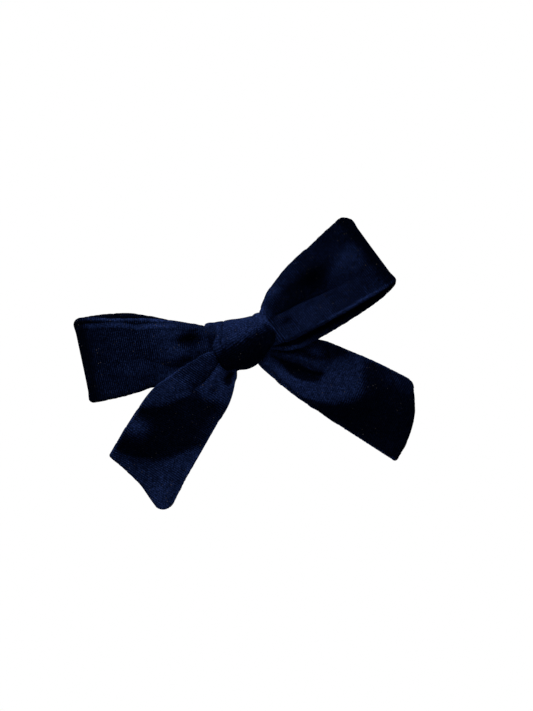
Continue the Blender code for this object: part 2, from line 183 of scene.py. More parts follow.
def hermite(stations, values, x):
    """Cubic interpolation along the first axis of values, held level beyond the two end stations."""

    def pick(source, index):
        if source.ndim == 1:
            return source[index]
        return np.take_along_axis(source, index[None], axis=0)[0]

    slopes = np.gradient(values, stations, axis=0)
    x = np.clip(x, stations[0], stations[-1])
    left = np.clip(np.searchsorted(stations, x) - 1, 0, len(stations) - 2)
    step = stations[left + 1] - stations[left]
    t = (x - stations[left]) / step
    here, there = pick(values, left), pick(values, left + 1)
    slope_here, slope_there = pick(slopes, left), pick(slopes, left + 1)
    return (
        here * (1 + 2 * t) * (1 - t) ** 2
        + there * t * t * (3 - 2 * t)
        + step * (slope_here * t * (1 - t) ** 2 + slope_there * t * t * (t - 1))
    )


def curve(points, x):
    """A smooth curve through (x, y) points."""
    xs, ys = np.array(points, float).T
    return hermite(xs, ys, np.asarray(x, float))


def loft(sections, along, across):
    """A smooth surface through cross-sections, each (along, its (across, depth) points)."""
    stations = np.array([station for station, _ in sections], float)
    depths = np.array([curve(points, across) for _, points in sections])
    return hermite(stations, depths, along)


def ridge(along, across, path, height, width, sharp=False, fade=4.0):
    """A ridge along a path of (along, across) points, or a crease where height is below zero."""
    offset = (across - curve(path, along)) / width
    profile = np.exp(0.25 - np.sqrt(offset**2 + 0.0625)) if sharp else np.exp(-(offset**2))
    ends = smooth_step((along - path[0][0]) / fade + 1) * smooth_step((path[-1][0] - along) / fade + 1)
    return height * ends * profile


def in_ellipse(along, across, centre, size, turn):
    """Coordinates in which an ellipse, turned by some degrees, is the unit circle."""
    angle = math.radians(turn)
    da, dc = along - centre[0], across - centre[1]
    u = (da * math.cos(angle) + dc * math.sin(angle)) / size[0]
    v = (dc * math.cos(angle) - da * math.sin(angle)) / size[1]
    return u, v


def bump(along, across, centre, size, height, turn=0.0):
    """A round swelling, or a dimple where height is below zero."""
    u, v = in_ellipse(along, across, centre, size, turn)
    return height * np.exp(-(u * u + v * v))


def bumps(along, across, *shapes):
    """The sum of some bumps, each its centre, size, height and, where it has one, its turn."""
    return sum(bump(along, across, *shape) for shape in shapes)


def painted_shading_spots(along, across, *shapes):
    """A factor for the painted shading: above 1, a painted highlight, in round spots, or below 1,
    painted shade, where a spot's height is below 0.
    """
    factor = 1.0
    for shape in shapes:
        factor = factor * (1 + bump(along, across, *shape))
    return factor


def spot(along, across, centre, size, turn=0.0, edge=0.5):
    """1 inside an ellipse and 0 outside it, with a soft edge."""
    u, v = in_ellipse(along, across, centre, size, turn)
    return smooth_step((1 - np.hypot(u, v)) / edge + 0.5)


def stripe(offset, width):
    """1 on a line and falling off to both sides of it."""
    return np.exp(-((offset / width) ** 2))


def beyond(offset, softness):
    """0 before a line and 1 beyond it, with a soft change at the line."""
    return smooth_step(offset / softness + 0.5)


def unevenness(along, across, seed, height, wavelength):
    """The slight waviness of hand-turned cloth: a few crossing waves of random phase."""
    random = np.random.default_rng(seed)
    total = 0.0
    for _ in range(7):
        heading, phase = random.uniform(0, 2 * math.pi, 2)
        length = wavelength * random.uniform(0.6, 1.6)
        total = total + np.sin(
            2 * math.pi * (along * math.cos(heading) + across * math.sin(heading)) / length + phase
        )
    return height * total / 7**0.5


def rounded_corner(radius, short_of_end):
    """How far a rounded corner pulls an edge in, this short of the strip's end."""
    inside = np.clip(1 - short_of_end / radius, 0.0, 1.0)
    return radius * (1 - np.sqrt(1 - inside * inside))


def place(angle, along, across, depth):
    """Points of the bow, in metres, from distances in the bow's millimetres."""
    turn = math.radians(angle)
    x = along * math.cos(turn) - across * math.sin(turn)
    z = along * math.sin(turn) + across * math.cos(turn)
    return np.stack([x * UNIT, KNOT_Y - depth * UNIT, z * UNIT], axis=-1)


def edge_packed(count):
    """Positions -1 to 1 across a strip, closer together near its two edges."""
    return np.sin(np.linspace(-math.pi / 2, math.pi / 2, count))[None, :]


def grid_quads(rows, columns, closed=False):
    """The four vertex numbers of each face of a grid of vertices."""
    index = np.arange(rows * columns).reshape(rows, columns)
    if closed:
        index = np.concatenate([index, index[:1]])
    quads = np.stack([index[:-1, :-1], index[1:, :-1], index[1:, 1:], index[:-1, 1:]], axis=-1)
    return quads.reshape(-1, 4)


def grid_normals(points, closed=False):
    if closed:
        padded = np.concatenate([points[-1:], points, points[:1]])
        down = np.gradient(padded, axis=0)[1:-1]
    else:
        down = np.gradient(points, axis=0)
    normals = np.cross(down, np.gradient(points, axis=1))
    return normals / np.maximum(np.linalg.norm(normals, axis=-1, keepdims=True), 1e-12)


def roll_profile(distance):
    """0 at an edge, rising to 1 one roll radius in, as a round edge does."""
    inside = np.clip(1 - distance / EDGE_ROLL, 0.0, 1.0)
    return np.sqrt(1 - inside * inside)


def strip_half_thickness(from_side):
    """A turned tube is fuller at its rolled edges than over its flat middle."""
    fullness = mix(EDGE_ROLL, HALF_THICKNESS, rise(from_side, EDGE_ROLL, EDGE_FADE))
    return fullness * roll_profile(from_side)


# ---- cloth


def resampled(values, at):
    """A grid's values at fractional row numbers, with its columns as the rows of the new grid."""
    return np.stack([hermite(np.arange(len(values), dtype=float), line, at) for line in values.T])


def cloth_object(points):
    """A scratch object for a grid of points, with its rim held, ready for the cloth solver."""
    rows, columns = points.shape[:2]
    mesh = bpy.data.meshes.new("settling cloth")
    mesh.from_pydata(points.reshape(-1, 3).tolist(), [], grid_quads(rows, columns).tolist())
    obj = new_object("settling cloth", mesh)
    index = np.arange(rows * columns).reshape(rows, columns)
    rim = np.concatenate([index[0], index[-1], index[:, 0], index[:, -1]])
    obj.vertex_groups.new(name="held").add(sorted(set(rim.tolist())), 1.0, "REPLACE")
    cloth = obj.modifiers.new("cloth", "CLOTH")
    cloth.point_cache.frame_end = CLOTH_FRAMES
    settings = cloth.settings
    settings.quality = 6
    settings.vertex_group_mass = "held"
    settings.shrink_min = -CLOTH_EXCESS
    settings.bending_stiffness = CLOTH_BENDING
    settings.effector_weights.gravity = 0.0
    return obj


def settled(middle):
    """The grid after it has relaxed as cloth that is slightly longer than its shape asks for.

    A coarse, enlarged copy goes through the cloth solver, and only its drift along the surface's normal
    is kept, capped, so the outline and the gaps to the neighbours stay.
    """
    kept = [
        np.linspace(0, size - 1, count).round().astype(int)
        for size, count in zip(middle.shape, (CLOTH_ROWS, CLOTH_COLUMNS))
    ]
    coarse = middle[np.ix_(*kept)] * CLOTH_ENLARGED
    obj = cloth_object(coarse)
    scene = bpy.context.scene
    for step in range(1, CLOTH_FRAMES + 1):
        scene.frame_set(step)
    evaluated = obj.evaluated_get(bpy.context.evaluated_depsgraph_get())
    relaxed = np.array([vert.co for vert in evaluated.data.vertices]).reshape(coarse.shape)
    bpy.data.objects.remove(obj)
    scene.frame_set(1)
    drift = ((relaxed - coarse) * grid_normals(coarse)).sum(axis=-1) / CLOTH_ENLARGED
    cap = CLOTH_CAP * UNIT
    drift = cap * np.tanh(drift / cap)
    for size, lines in zip(middle.shape, kept):
        drift = resampled(drift, np.interp(np.arange(size), lines, np.arange(len(lines))))
    return middle + grid_normals(middle) * drift[..., None]


# ---- mesh building


def finished_mesh(bm, name):
    mesh = bpy.data.meshes.new(name)
    bm.to_mesh(mesh)
    bm.free()
    mesh.shade_smooth()
    return mesh


def filled_bmesh(points, faces):
    bm = bmesh.new()
    verts = [bm.verts.new(point) for point in points.reshape(-1, 3)]
    for face in faces:
        bm.faces.new([verts[q] for q in face])
    bm.verts.index_update()
    return bm


def skin_mesh(name, middle, half, cloth, painted_shading, girth=0.0):
    """A closed skin on both sides of a grid of middle points, with a cloth UV map and painted light and
    shade.

    half is the half thickness at each point, 0 where the two sides meet. cloth is (across, length), and
    painted_shading is the light and shade painted into the colour (the outer side's, the inner side's).
    A skin with a girth, its length round, joins its last row to its first.
    """
    closed = girth > 0
    rows, columns = half.shape
    offset = grid_normals(middle, closed) * (half * UNIT)[..., None]
    count = rows * columns
    quads = grid_quads(rows, columns, closed)
    faces = list(np.stack([quads, count + quads[:, ::-1]], axis=1).reshape(-1, 4))
    if not closed:
        for k in range(columns - 1):
            last = count - columns + k
            faces.append((k, k + 1, count + k + 1, count + k))
            faces.append((last + 1, last, count + last, count + last + 1))
    bm = filled_bmesh(np.stack([middle + offset, middle - offset]), faces)
    uv = bm.loops.layers.uv.new("cloth")
    across = np.tile(cloth[0].ravel() / UV_ACROSS + 0.5, 2)
    length = np.tile(cloth[1].ravel() / UV_LENGTH, 2)
    # Light and shade painted into the velvet's colour, one value for each vertex
    painted_shading_layer = bm.verts.layers.float.new("painted_shading")
    wrap = girth / UV_LENGTH / 2 if girth else np.inf
    for vert, value in zip(bm.verts, np.ravel(painted_shading)):
        vert[painted_shading_layer] = value
    for face in bm.faces:
        lengths = [length[loop.vert.index] for loop in face.loops]
        for loop, value in zip(face.loops, lengths):
            if value < max(lengths) - wrap:
                value += girth / UV_LENGTH
            loop[uv].uv = (across[loop.vert.index], value)
    bmesh.ops.remove_doubles(bm, verts=bm.verts, dist=0.0005 * UNIT)
    return finished_mesh(bm, name)


def add_piece(name, mesh, material, slot, node):
    """A new object that stands for a CAD node, which it hides, and has the given material. slot is not
    used.
    """
    obj = new_object(name, mesh)
    mesh.materials.append(material)
    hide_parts(node)
    return obj


def add_fixed_piece(*what):
    """A piece that stays with the bow's own body."""
    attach(add_piece(*what), "bow")


def lit_rim(from_side):
    """A painted highlight along a rolled edge, where the pile stands up and catches the light."""
    return 1.3 * stripe(from_side, 0.55)


# ---- the two loops


# Each length's outline is a pair of (along, across) curves. Its shape is a loft through cross-sections,
# each (along, its (across, depth) points). A loop's low edge curls forward, and up to its "curl" along
# its inner side there has no painted shade and gets a painted highlight. A tail's cross-sections lean
# by its "slant".

RIGHT_LOOP = {
    "node": "right_loop",
    "angle": 18.7,
    "reach": 54.5,
    "front_low": ((5, -6.2), (11.6, -9), (25.1, -11.9), (40.6, -14.1), (54.5, -15.4)),
    "front_high": (
        (5, 0.4), (9, 2.4), (12.7, 5), (16, 7.2), (20, 8.9), (25.2, 10.2), (34.7, 11.5), (54.5, 13.7),
    ),
    "back_low": (
        (5, -6.5), (8.5, -9.6), (11, -11.7), (15, -13.8), (21.6, -15), (34.6, -16.4), (48, -16.9),
        (54.5, -16.2),
    ),
    "back_high": ((5, 0), (12, 1.6), (19.6, 7), (34.7, 10.2), (54.5, 13.4)),
    "curl": 42,
    "low_corner": 0.8,
    "high_corner": 2.8,
    "front": (
        (5, ((-6, 1.4), (0, 1.4))),
        (12, ((-9.5, 2.4), (-5, 1.7), (-1, 1.6), (4.4, 1.3))),
        (20, ((-11, 3.6), (-6, 2.2), (-1.5, 1.2), (3, 2), (6.5, 2.4), (9.4, 0.9))),
        (32, ((-13, 5.4), (-8, 3.9), (-3.6, 2.5), (0.5, 3), (6.5, 5), (10, 4.2), (12.6, 2.4))),
        (42, ((-14.4, 5.8), (-9, 4.5), (-5.4, 3.9), (-2, 4.8), (4, 4.3), (9, 3.4), (13.4, 2.2))),
        (51, ((-15.4, 3.6), (-6, 3.8), (0, 3.6), (8, 3.2), (13.8, 2.8))),
        (54.6, ((-15.4, 3), (13.8, 3))),
    ),
    "back": (
        (5, ((-6, 0.2), (0, 0.2))),
        (12, ((-11, 0.2), (-6, -0.4), (2, -0.6))),
        (20, ((-15.3, -0.2), (-12.6, -1.3), (-6, -2.3), (8, -2))),
        (34, ((-16.5, -2.4), (-8, -3.8), (10, -3.2))),
        (51, ((-16.6, -2.7), (-6, -3.1), (13, -2.8))),
        (54.6, ((-16.6, -2.8), (13, -2.8))),
    ),
}

LEFT_LOOP = {
    "node": "left_loop",
    "angle": 173.4,
    "reach": 53.4,
    "front_low": (
        (5, -4.2), (11, -7.3), (15.4, -9.5), (24.3, -12.6), (34.8, -15.1), (42, -16.6), (49.6, -18.5),
        (53.4, -18.9),
    ),
    "front_high": ((5, 2), (11, 4), (16, 6.4), (23, 8.3), (31.4, 9.1), (40.4, 10.2), (53.4, 10.4)),
    "back_low": (
        (5, -4.4), (11.2, -7.9), (20, -11.2), (27.4, -14.3), (35, -17.1), (42, -18.3), (49, -18.9),
        (53.4, -18.9),
    ),
    "back_high": ((5, 1.6), (16, 5), (31, 8.2), (53.6, 10.5)),
    "curl": 0,
    "low_corner": 1.6,
    "high_corner": 0.8,
    "front": (
        (5, ((-4, 0.8), (2, 0.8))),
        (12, ((-8, 0.4), (-3, 1.2), (4, 0.6))),
        (20, ((-12, 1.4), (-7, 2.6), (-3, 2.2), (1, 2.9), (4, 1.4), (7.5, 0.6))),
        (32, ((-15.4, 2.4), (-10, 3.6), (0, 4.2), (5, 3.4), (9.3, 1.8))),
        (44, ((-17.3, 2.3), (-10, 3.2), (0, 3.6), (6, 3.4), (10.6, 2.6))),
        (53.6, ((-18.5, 2.5), (10.6, 2.5))),
    ),
    "back": (
        (5, ((-4, -0.8), (2, -0.8))),
        (12, ((-8, -1.8), (4, -1.8))),
        (22, ((-12.5, -3.4), (-4, -4.2), (7, -3.4))),
        (36, ((-17.8, -4.6), (-8, -5.6), (9, -4.8))),
        (53.6, ((-18.5, -3.3), (10.6, -3.3))),
    ),
}


# Lines of the loops' front layers: a crease, and a lip that stands up beside the mouth
RIGHT_CREASE = ((16, -0.2), (17.9, -0.6), (24.4, -1.6), (31.5, -3.5), (40.7, -5.3), (50, -6.4))
LEFT_CREASE = ((21.7, 4.2), (28.2, 1.6), (33.8, -1.3))
LEFT_LIP = (
    (15.4, -7.8), (23.9, -9.9), (29, -11), (33.4, -11.4), (37.3, -12.8), (42.3, -14), (47.3, -14.7),
    (50.5, -15.4),
)


def right_loop_relief(a, c):
    depth = ridge(a, c, RIGHT_CREASE, -1, 0.9, sharp=True) * (1 - 0.75 * rise(a, 28, 12))
    depth += bumps(a, c, ((31.5, 2.4), (5.5, 2.8), -0.9, -10), ((45, -1.5), (5.5, 4.5), 0.5))
    depth += bump(a, c, (16.9, -4.1), (1.6, 1.2), -0.9)
    return depth + 0.9 * fall(a, 14.2, 2.2)


def left_loop_relief(a, c):
    depth = ridge(a, c, LEFT_LIP, 0.5, 0.6)
    depth += ridge(a, c + 1.2, LEFT_LIP, -0.6, 0.8)
    depth += bumps(a, c, ((17.2, -3.8), (6.2, 4.4), 1.3), ((16.8, -3.9), (3.8, 2.1), -2.8, -8))
    return depth + ridge(a, c, LEFT_CREASE, -0.35, 0.6, sharp=True)


def loop_painted_shade(loop, a, behind):
    """Painted shade over the fold at a loop's end, and a little on its back layer."""
    return (1 - 0.75 * rise(a, loop["reach"] - 5, 3)) * (1 - 0.35 * behind)


# Painted light and shade on the right loop's front: painted shade in its hollow, above and along its
# crease and in a dimple by the knot, and painted highlights on a patch near its end, along the knot's
# edge and along its lip
def right_loop_painted_shading(a, c):
    hollow = fall(c, 7.2, 3.5) * smooth_step((c + 0.4 * (a - 20) / 4 + 1) / 1.2)
    painted_shading = 1 - 0.55 * hollow * rise(a, 12, 4) * fall(a, 39, 6)
    crease = curve(((16, -0.2), (24.4, -1.6), (31.5, -3.5), (40.7, -5.3), (50, -6.4)), a)
    above = rise(c, crease, 1.5)
    painted_lit_patch = spot(a, c, (44, -1.4), (8, 4.8), turn=25, edge=0.9)
    painted_shading *= 1 - 0.62 * above * rise(a, 27, 8) * (1 - painted_lit_patch) + 0.25 * painted_lit_patch
    painted_shading *= 1 - 0.3 * spot(a, c, (26, 2), (13, 4.2), turn=4)
    painted_shading *= 1 - (1 - above) * (0.25 + 0.25 * rise(a, 24, 18))
    painted_shading *= 1 - 0.25 * above * rise(a, 20, 4)
    painted_shading *= painted_shading_spots(a, c, ((31.8, 2.8), (6.2, 4), -0.5, -10), ((17.2, -4.1), (2.4, 1.7), -0.65))
    painted_shading *= 1 + bumps(a, c, ((15.5, 5), (4.5, 3), 0.9), ((13.6, -0.5), (2, 2.5), -0.3))
    root = curve(((-9, 9), (-6.7, 9.6), (-4.8, 10.6), (-0.2, 11.4), (3.3, 11.8), (6, 12)), c)
    painted_shading *= 1 + 0.8 * stripe(a - root, 0.7)
    painted_shading *= 1 - 0.5 * stripe(c - crease, 0.35) * fall(a, 34, 10)
    lip = curve(RIGHT_LOOP["front_low"], a) + 0.7
    return painted_shading * (1 + 3.4 * stripe(c - lip, 0.38) * rise(a, 20, 18))


# Painted light and shade on the left loop's front: painted shade in the dimple by the knot, along its
# crease, beside the lip and over its outer half, and painted highlights on a few spots, on the lip and
# along the low edge
def left_loop_painted_shading(a, c):
    painted_shading = 0.9 * (1 - 0.8 * spot(a, c, (16.9, -3.9), (4.7, 2.8), turn=-8, edge=0.7))
    painted_shading *= painted_shading_spots(
        a, c,
        ((21.6, -0.9), (2.8, 1.8), 0.25),
        ((22.5, -5.5), (5, 2.5), 0.5),
        ((24.5, 6.5), (5, 2.5), 1.15),
    )
    painted_shading *= 1 - 0.45 * rise(a, 24, 8) * fall(c, 4, 6)
    painted_shading *= 1 - 0.3 * rise(a, 38, 9)
    painted_shading *= 1 - 0.3 * rise(a, 28, 10) * rise(c, 1, 4)
    painted_shading *= 1 - 0.3 * ridge(a, c, LEFT_CREASE, 1, 0.5)
    lip = curve(LEFT_LIP, a)
    edge = curve(LEFT_LOOP["front_low"], a) + 0.35
    past_knot = rise(a, 19, 9)
    painted_shading *= 1 + 2.2 * stripe(c - lip, 0.4) * past_knot
    painted_shading *= 1 + 3.5 * stripe(c - edge, 0.35) * past_knot
    return painted_shading * (1 - 0.85 * stripe(c - lip + 1.15, 0.7) * past_knot)


def loop_grid(loop, relief, painted_shading_of):
    """What skin_mesh needs for a length that runs out, folds and returns behind itself.

    A loop's inner side has painted shade inside its mouth, except where its low edge curls forward,
    which gets a painted highlight instead.
    """
    run = loop["reach"] - LOOP_FOLD - LOOP_START
    total = 2 * run + math.pi * LOOP_FOLD
    travelled = np.linspace(0, total, LOOP_ROWS)[:, None]
    turn = np.clip((travelled - run) / LOOP_FOLD, 0, math.pi)
    straight = np.minimum(np.minimum(travelled, total - travelled), run)
    along = LOOP_START + straight + LOOP_FOLD * np.sin(turn)
    behind = (1 - np.cos(turn)) / 2
    low, high = (
        mix(*(curve(loop[layer + side], along) for layer in ("front_", "back_")), behind)
        for side in ("low", "high")
    )
    low = low + rounded_corner(loop["low_corner"], loop["reach"] - along)
    high = high - rounded_corner(loop["high_corner"], loop["reach"] - along)
    v = edge_packed(COLUMNS)
    across = mix(low, high, (v + 1) / 2)
    along = np.broadcast_to(along, across.shape)
    fade = fall(along, loop["reach"], 4)
    front = loft(loop["front"], along, across) + relief(along, across) * fade
    front = front + unevenness(along, across, 11, 0.09, 9)
    back = loft(loop["back"], along, across) + unevenness(along, across, 12, 0.15, 12)
    depth = mix(front, back, behind)
    from_side = (1 - np.abs(v)) / 2 * (high - low)
    half = strip_half_thickness(from_side)
    # Painted light and shade: the outer side carries the front's, and the inner side has painted shade
    # in the mouth and a painted highlight on the curl
    in_mouth = behind * fall(across, low + 4, 2) * rise(along, 7.5, 2)
    curl = fall(across, low + 1.9, 0.8) * fall(along, loop["curl"], 14)
    outer = mix(painted_shading_of(along, across), 1, behind) * loop_painted_shade(loop, along, behind)
    inner = loop_painted_shade(loop, along, 1) * (1 - 0.72 * in_mouth * (1 - curl))
    inner *= 1 + 1.3 * curl * fall(along, 24, 10)
    cloth = (across, np.broadcast_to(travelled, across.shape))
    return settled(place(loop["angle"], along, across, depth)), half, cloth, (outer, inner)


def add_loop(loop, relief, painted_shading_of, material):
    name = loop["node"] + "_velvet"
    mesh = skin_mesh(name, *loop_grid(loop, relief, painted_shading_of))
    add_fixed_piece(name, mesh, material, "velvet", loop["node"])


# ---- the two tails


LEFT_TAIL = {
    "node": "left_tail",
    "angle": 220.6,
    "low": ((6, -4.8), (9.4, -7.6), (16.8, -11.7), (28.2, -16.4), (37, -17.4), (58, -17.8)),
    "high": ((6, 2.4), (9.4, 4.4), (13.6, 6.2), (18.7, 7.6), (28.6, 7.9), (50.1, 8.6), (64, 9.9)),
    "end": ((-17.8, 56.2), (-11.4, 57), (-6.8, 57.7), (-1, 58.8), (5.9, 61.1), (9.9, 62.3)),
    "low_corner": 0.8,
    "high_corner": 4.6,
    "slant": 0.6,
    "sections": (
        (3, ((-6, 2.6), (2, 2.6))),
        (8, ((-9, 4.2), (-5, 4), (-1, 3.2), (4, 2.6))),
        (16, ((-12, 6.4), (-6, 6.2), (-2, 5), (5, 4.6))),
        (24, ((-18, 8.2), (-11, 8.4), (-5, 7), (1, 6.2), (8, 5.6))),
        (32, ((-18, 6.4), (-12, 6.2), (-5, 4.6), (1, 4.2), (8, 4))),
        (36, ((-18, 6.8), (-13, 6.6), (-6, 3.6), (1, 3.2), (8, 3.2))),
        (42, ((-18, 3.8), (-13, 3.4), (-6, 2), (1, 1.9), (8, 2.6))),
        (46, ((-18, 3.6), (-12, 2.8), (-4, 1.2), (2, 1.6), (8, 3.2))),
        (54, ((-18, 5.6), (-8, 4.6), (0, 3.8), (8, 5.6))),
        (66, ((-8, 8.6), (0, 7.8), (9, 8.6))),
    ),
}

RIGHT_TAIL = {
    "node": "right_tail",
    "angle": -46.6,
    "low": ((6, -2.5), (8.4, -3.4), (15, -5.1), (22.8, -6.7), (35.2, -8), (59.9, -10), (68, -10.6)),
    "high": (
        (6, 1.6), (11, 4.4), (15, 8.6), (19, 11.6), (23, 13.5), (34.6, 15.4), (56.3, 16.7), (68, 16.9),
    ),
    "end": ((-10.4, 66.9), (-2.1, 66.9), (5, 65.5), (11, 62.7), (16.6, 58.6)),
    "low_corner": 1,
    "high_corner": 2.4,
    "slant": 0,
    "sections": (
        (5, ((-2.5, -1.4), (1.6, -2))),
        (11, ((-4, -0.4), (-1, -1.4), (2, -3), (4.6, -2.6))),
        (20, ((-6, -0.8), (-4.6, -0.9), (-2, -2), (1, -4), (5, -3.6), (8, -4.4), (12, -4.2))),
        (28, ((-7, -1), (-5, -0.6), (-2, -1.8), (2, -4.4), (6, -4.2), (10, -5.2), (14.4, -5))),
        (34, ((-7.6, -1.4), (-4.8, -0.3), (1, -2), (8, -4.2), (15, -5.2))),
        (40, ((-8.4, -2.4), (-1.4, 0.1), (6, -1.8), (15.4, -4))),
        (45, ((-9, -4.4), (-2, -1.6), (4, -0.4), (10, -1.4), (15.6, -2.8))),
        (53, ((-9.6, -6.2), (0, -3.8), (8, -2.6), (16.2, -2.8))),
        (67, ((-10.6, -7.2), (0, -6), (8, -5), (16.6, -4.4))),
    ),
}


def left_tail_relief(a, c):
    depth = ridge(a, c, ((10, -5.9), (18.5, -8.7), (28.8, -12.4), (34.3, -15)), 0.8, 2.4)
    depth += ridge(a, c, ((9.9, -3.1), (13.7, -2.8), (17.3, -3.4), (21.4, -4.9)), -1.1, 0.9, sharp=True)
    return depth + bumps(
        a, c,
        ((14, -0.8), (2.6, 1.6), 0.7),
        ((20, 1.6), (4.4, 3.6), 1),
        ((18.6, 1.6), (1.9, 1.4), -1.2),
        ((12.3, 3.4), (2.4, 1.8), -2),
        ((42.8, -13.8), (3, 2.6), 0.6),
    )


def right_tail_relief(a, c):
    valley = ((11.2, 0.9), (15, 1), (20.6, 0.9), (25.8, 1.4), (30, 3))
    depth = ridge(a, c, valley, -1.1, 1.6, fade=2)
    depth += ridge(a, c, ((11.1, 2.4), (17, 3.9), (22.5, 5.3), (27.4, 5.6)), 0.9, 0.9)
    depth += ridge(a, c, ((12, 4), (14.8, 4.9), (18.8, 6.9), (24.4, 7.3), (28.8, 8.6)), -0.7, 1.1)
    return depth + bumps(a, c, ((23.3, 9.6), (2.4, 1.6), 0.6), ((55.3, 14.2), (5, 1.8), 0.5))


def left_tail_painted_shading(a, c):
    """Painted light and shade: light at the knot, dark between two slanting lines over the middle,
    light at the end, and painted shade in a crease and in a pit under the knot.
    """
    w = a + 0.6 * c
    lit_until = curve(
        ((-18, 24.6), (-11, 24), (-5.5, 20.4), (-3.5, 18.6), (-2, 20), (0, 22), (3, 22.5), (8, 24)), c
    )
    lit_again = curve(((-18, 44.5), (-8.5, 48), (-0.9, 48.6), (4.6, 44.6), (9, 43)), c)
    shade = rise(w, lit_until, 1.6) * fall(w, lit_again, 3.2) * (1 - 0.25 * rise(c, 3, 3))
    crest = bump(a, c, (42.6, -14.2), (3, 3.4), 1)
    painted_shading = (1 - 0.8 * shade * (1 - crest)) * (1 + 0.4 * crest)
    painted_shading *= 1 - 0.93 * spot(a, c, (12.5, 3.7), (3, 2.1))
    painted_shading *= 1 - 0.85 * ridge(a, c, ((9.9, -2.6), (13.8, -2.5), (16.6, -3), (18.4, -3.7)), 1, 0.45)
    painted_shading *= 1 - 0.35 * fall(c, -3.5, 2) * fall(a, 25, 5)
    painted_shading *= 1 - 0.18 * rise(a, 46, 4)
    return painted_shading * painted_shading_spots(
        a, c,
        ((18.9, 1.3), (2, 1.4), -0.6),
        ((14.2, -1), (3, 1.7), 0.15),
        ((58.5, 4.5), (5, 5), 0.5),
    )


def right_tail_painted_shading(a, c):
    """Painted light and shade: light near the knot, strongest on the low ridge just below it, with dark
    folds that run into it, painted shade along the low edge, and dark beyond a slanting crest.
    """
    crest = curve(
        (
            (-10.5, 24), (-6.4, 27), (-4.9, 33), (-1.6, 39.7), (3.4, 44), (8, 43.5), (11.5, 41.5),
            (16.5, 42),
        ),
        c,
    )
    painted_shading = 1.15 - 1.02 * smooth_step((a - crest + 2.2) / 4.5)
    painted_shading += bumps(
        a, c,
        ((55, 14.2), (7, 2.4), 0.45),
        ((11.5, -1.6), (4.5, 1.8), 3.6),
        ((18.5, -2.6), (5, 1.8), 0.9),
    )
    shaded_edge = curve(((9, -2.6), (14.6, -3.6), (21.9, -5.3), (27.5, -6), (33, -8.5)), a)
    painted_shading *= 1 - 0.5 * beyond(shaded_edge - c, 0.8)
    valley_low = curve(((11, 0.4), (15.2, -0.1), (21, -1.8), (25.9, -1.4), (30.4, 0.7)), a)
    valley_high = curve(((11, 1.2), (14.6, 1.9), (20.2, 3.2), (25.6, 3.6), (30.4, 5)), a)
    valley = beyond(c - valley_low, 0.7) * beyond(valley_high - c, 0.9)
    painted_shading *= 1 - 0.87 * valley * fall(a, 31.5, 1.8) * rise(a, 10.5, 2)
    crease = curve(((11.4, 3.3), (14.8, 4.7), (18.8, 6.7), (24.4, 7), (28.8, 8.2)), a)
    above = beyond(c - crease, 0.8) * fall(a, 23 + 0.95 * c, 3.5)
    painted_shading *= 1 - 0.7 * above * (1 - bump(a, c, (24.3, 9.4), (2.6, 1.7), 1))
    painted_shading *= 1 - 0.6 * stripe(c - crease, 0.5) * fall(a, 21, 3)
    painted_shading *= 1 + bumps(a, c, ((20, 4.9), (5.5, 0.9), 0.5), ((24.5, 9.6), (2.2, 1.5), 0.5))
    return painted_shading * painted_shading_spots(a, c, ((36.5, 8.5), (5.5, 6.5), 0.25))


def tail_grid(tail, relief, painted_shading_of):
    """What skin_mesh needs for a tail with a sewn end."""
    u = 1 - (1 - np.linspace(0, 1, TAIL_ROWS)[:, None]) ** 1.7
    v = edge_packed(COLUMNS)
    far_low, far_high = (curve(tail[side], TAIL_END) for side in ("low", "high"))
    end = curve(tail["end"], mix(far_low, far_high, (v + 1) / 2))
    along = mix(TAIL_START, end, u)
    low = curve(tail["low"], along) + rounded_corner(tail["low_corner"], end - along)
    high = curve(tail["high"], along) - rounded_corner(tail["high_corner"], end - along)
    across = mix(low, high, (v + 1) / 2)
    depth = loft(tail["sections"], along + tail["slant"] * across, across)
    depth = depth + relief(along, across) + unevenness(along, across, 21, 0.12, 11)
    from_side = (1 - np.abs(v)) / 2 * (high - low)
    half = strip_half_thickness(from_side) * roll_profile(end - along)
    cloth = (across, along)
    # Painted light and shade on the front side, with a painted highlight along the rolled edges; the
    # back side gets a nearly even tone that keeps a faint trace of it
    painted_shading = painted_shading_of(along, across) + lit_rim(from_side)
    behind = mix(painted_shading, 0.7, 0.85)
    return settled(place(tail["angle"], along, across, depth)), half, cloth, (painted_shading, behind)


def add_tail(tail, relief, painted_shading_of, material):
    """A tail's skin, which starts inside the knot's mouth, as a piece of its own with its place baked
    into its mesh.
    """
    name = tail["node"] + "_velvet"
    mesh = skin_mesh(name, *tail_grid(tail, relief, painted_shading_of))
    piece = add_piece(name, mesh, material, "velvet", tail["node"])
    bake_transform(piece)


# ---- the knot


# The wrap's outline from the front and its depth, at positions from left to right
KNOT_TOP = ((-10.5, 8.5), (-9.5, 9.2), (-6, 9.1), (0.7, 8.1), (4.2, 7.6), (8, 7.5), (12.5, 6.3))
KNOT_BOTTOM = ((-10.5, -7.4), (-6, -8.8), (-3, -9.2), (0, -9.6), (4, -8.5), (8, -7.8), (12.5, -7))
KNOT_HALF_DEPTH = ((-10.5, 4.9), (-8, 6.2), (-4, 7.1), (0, 7.3), (5, 7.3), (9, 6.5), (12.5, 4.9))
